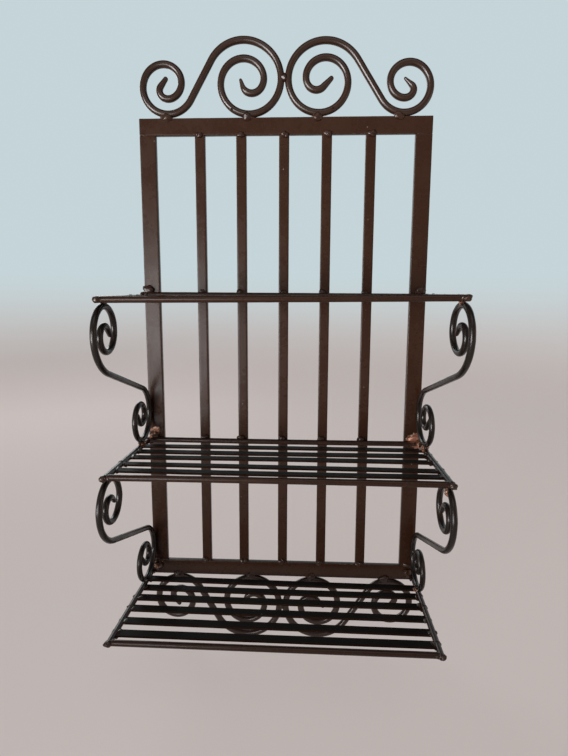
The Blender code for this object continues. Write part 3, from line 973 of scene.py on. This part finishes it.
def slat_end_welds():
    """Weld the cross bars to the side rods."""
    for shelf in SHELVES:
        lumps = []
        for side, inward in (("left", 1.0), ("right", -1.0)):
            for bar in shelf.bars:
                joint = bar_end(shelf, side, bar)
                lumps.append(set_lump(BAR_BEAD, joint, inward))
                fillet = SLAT_FILLET if isinstance(bar, Slat) else ROD_FILLET
                lumps.append(set_lump(fillet, joint, inward))
            corner = side_rod_point(shelf, side, shelf_reach(shelf) - CORNER_BLOB_INSET)
            lumps.append(set_lump(CORNER_BLOB, corner, inward))
        weld_piece(f"{shelf.name}_slat_end_welds", lumps)


def bracket_welds():
    """Weld each bracket to the rod above, the stile and the rod below."""
    lumps = []
    for bracket in BRACKETS:
        top, back, foot = TOUCHES[bracket.name]
        lumps.append((top, BRACKET_TOP_RADII))
        lumps.append((back, BRACKET_BACK_RADII))
        if bracket.name.startswith("lower"):
            lumps.append((foot, LOWER_FOOT_RADII))
        else:
            node = f"foot_weld_{bracket.name}"
            weld_piece(f"weld_lump_{bracket.name}", [(foot, UPPER_FOOT_RADII)], [node])
    lumps.append((BARE_LUMP, BARE_LUMP_RADII))
    weld_piece("bracket_welds", lumps)


build_panel()
build_scroll_pairs()
build_shelves()
build_brackets()
scroll_welds()
panel_welds()
shelf_back_welds()
slat_end_welds()
bracket_welds()


# Stage, light and camera, in metres

STAGE_FLAT = 1.7
STAGE_COVE = 1.0
STAGE_WALL = 1.6
COVE_STEPS = 16
ROUND_STEPS = 96
STAGE_ROUGHNESS = 0.9
STAGE_SHINE = 0.2
FLOOR_PALE = (0.79, 0.71, 0.685)
BACKDROP_COOL = (0.56, 0.66, 0.69)
ROOM_GREY = (0.32, 0.31, 0.305)
BACKDROP_RISE = (0.05, 0.60)
BACKDROP_NEAR = (0.6, 1.9)
FLOOR_GLOW = 0.52
FLOOR_Z = CAD_LOW.z


def studio_shell():
    """Return the mesh of a round studio: a floor that curves up into a wall on all sides."""
    bm = bmesh.new()
    centre = bm.verts.new((0.0, 0.0, FLOOR_Z))
    rim = bm.verts.new((STAGE_FLAT, 0.0, FLOOR_Z))
    bm.edges.new((centre, rim))
    turned = bmesh.ops.spin(
        bm,
        geom=[rim],
        cent=(STAGE_FLAT, 0.0, FLOOR_Z + STAGE_COVE),
        axis=(0.0, -1.0, 0.0),
        angle=math.pi / 2,
        steps=COVE_STEPS,
    )
    last = [item for item in turned["geom_last"] if isinstance(item, bmesh.types.BMVert)]
    raised = bmesh.ops.extrude_vert_indiv(bm, verts=last)["verts"]
    bmesh.ops.translate(bm, vec=(0.0, 0.0, STAGE_WALL), verts=raised)
    bmesh.ops.spin(
        bm,
        geom=bm.verts[:] + bm.edges[:],
        cent=(0.0, 0.0, 0.0),
        axis=(0.0, 0.0, 1.0),
        angle=2 * math.pi,
        steps=ROUND_STEPS,
        use_merge=True,
    )
    bmesh.ops.remove_doubles(bm, verts=bm.verts, dist=0.0001)
    bmesh.ops.recalc_face_normals(bm, faces=bm.faces)
    mesh = bpy.data.meshes.new("studio_floor")
    bm.to_mesh(mesh)
    bm.free()
    mesh.shade_smooth()
    return mesh


def studio_paint():
    """Return the studio's material: a pale floor, a cool backdrop behind and a grey room around."""
    material = bpy.data.materials.new("studio_pale")
    material.use_nodes = True
    tree = material.node_tree
    shader = tree.nodes["Principled BSDF"]
    place = put(tree, "ShaderNodeTexCoord", {}).outputs["Object"]
    parts = put(tree, "ShaderNodeSeparateXYZ", {"Vector": place}).outputs
    low, high = (FLOOR_Z + rise for rise in BACKDROP_RISE)
    raised = step_between(tree, parts["Z"], low, high)
    behind = step_between(tree, parts["Y"], *BACKDROP_NEAR)
    wall = mix_colour(tree, behind, (*ROOM_GREY, 1.0), (*BACKDROP_COOL, 1.0))
    tone = mix_colour(tree, raised, (*FLOOR_PALE, 1.0), wall)
    tree.links.new(tone, shader.inputs["Base Color"])
    shader.inputs["Roughness"].default_value = STAGE_ROUGHNESS
    shader.inputs["Specular IOR Level"].default_value = STAGE_SHINE
    glow = put(tree, "ShaderNodeEmission", {"Color": tone, "Strength": 1.0}).outputs[0]
    path = put(tree, "ShaderNodeLightPath", {}).outputs
    seen = sums(tree, "MAXIMUM", path["Is Camera Ray"], path["Is Glossy Ray"])
    seen = sums(tree, "MAXIMUM", seen, path["Is Transmission Ray"])
    share = sums(tree, "MULTIPLY", seen, mix_value(tree, raised, FLOOR_GLOW, 1.0))
    shown = put(tree, "ShaderNodeMixShader", {0: share, 1: shader.outputs[0], 2: glow}).outputs[0]
    tree.links.new(shown, tree.nodes["Material Output"].inputs["Surface"])
    return material


def build_stage():
    """Build the pale studio that the shelf stands in."""
    mesh = studio_shell()
    mesh.materials.append(studio_paint())
    floor = bpy.data.objects.new("studio_floor", mesh)
    bpy.context.scene.collection.objects.link(floor)


Lamp = namedtuple("Lamp", "name place aim width height power colour spread")
WHITE = (1.0, 1.0, 1.0)
WARM = (1.0, 0.62, 0.40)
LAMPS = (
    Lamp("left_lamp", (-1.05, -1.15, -0.2), (0.0, -0.08, 0.02), 0.75, 0.75, 2.4, WHITE, 43),
    Lamp("front_lamp", (-0.40, -1.0, -0.30), (0.0, -0.05, -0.3), 0.26, 0.46, 0.52, WHITE, 70),
    Lamp("right_lamp", (1.6, -0.35, -0.1), (0.0, -0.08, -0.27), 0.9, 0.8, 2.5, WARM, 180),
    Lamp("top_lamp", (0.1, -1.2, 1.3), (0.0, -0.08, -0.2), 1.6, 1.0, 4.0, WHITE, 180),
    Lamp("back_lamp", (-1.1, 1.5, 0.45), (0.0, 0.0, -0.27), 1.0, 0.9, 7.0, WHITE, 180),
)
SKY_STRENGTH = 0.10


def hang_lamp(lamp):
    """Hang a rectangular soft box at its place and point it at its aim."""
    light = bpy.data.lights.new(lamp.name, "AREA")
    light.color = lamp.colour
    light.shape = "RECTANGLE"
    light.size = lamp.width
    light.size_y = lamp.height
    light.energy = lamp.power
    light.spread = math.radians(lamp.spread)
    holder = bpy.data.objects.new(lamp.name, light)
    holder.location = lamp.place
    direction = Vector(lamp.aim) - Vector(lamp.place)
    holder.rotation_euler = direction.to_track_quat("-Z", "Y").to_euler()
    holder.visible_camera = False
    bpy.context.scene.collection.objects.link(holder)


def light_studio():
    """Light the stage: a lamp from the left, a low one left of the front, weak fills and a dim sky."""
    for lamp in LAMPS:
        hang_lamp(lamp)
    world = bpy.data.worlds.new("studio_sky")
    bpy.context.scene.world = world
    world.use_nodes = True
    sky = world.node_tree.nodes["Background"]
    sky.inputs["Color"].default_value = (*WHITE, 1.0)
    sky.inputs["Strength"].default_value = SKY_STRENGTH


CAMERA_PLACE = Vector((0.02848, -0.62803, -0.19411))
CAMERA_YAW = math.radians(-2.54)
CAMERA_PITCH = math.radians(-8.39)
CAMERA_ROLL = math.radians(0.26)
FOCAL_PIXELS = 523.94
FRAME_HEIGHT = 756
SENSOR = 36.0
NEAR_CLIP = 0.02


def set_camera():
    """Put the camera where the photograph was taken from."""
    level = math.cos(CAMERA_PITCH)
    forward = Vector(
        (math.sin(CAMERA_YAW) * level, math.cos(CAMERA_YAW) * level, math.sin(CAMERA_PITCH))
    )
    flat_right = Vector((math.cos(CAMERA_YAW), -math.sin(CAMERA_YAW), 0.0))
    flat_up = flat_right.cross(forward)
    right = math.cos(CAMERA_ROLL) * flat_right + math.sin(CAMERA_ROLL) * flat_up
    up = math.cos(CAMERA_ROLL) * flat_up - math.sin(CAMERA_ROLL) * flat_right
    lens = bpy.data.cameras.new("front_camera")
    lens.sensor_width = SENSOR
    lens.lens = FOCAL_PIXELS / FRAME_HEIGHT * SENSOR
    lens.clip_start = NEAR_CLIP
    camera = bpy.data.objects.new("front_camera", lens)
    camera.matrix_world = Matrix.Translation(CAMERA_PLACE) @ Matrix(
        (right, up, -forward)
    ).transposed().to_4x4()
    bpy.context.scene.collection.objects.link(camera)
    bpy.context.scene.camera = camera


build_stage()
light_studio()
set_camera()
bpy.context.scene.view_settings.view_transform = "Standard"
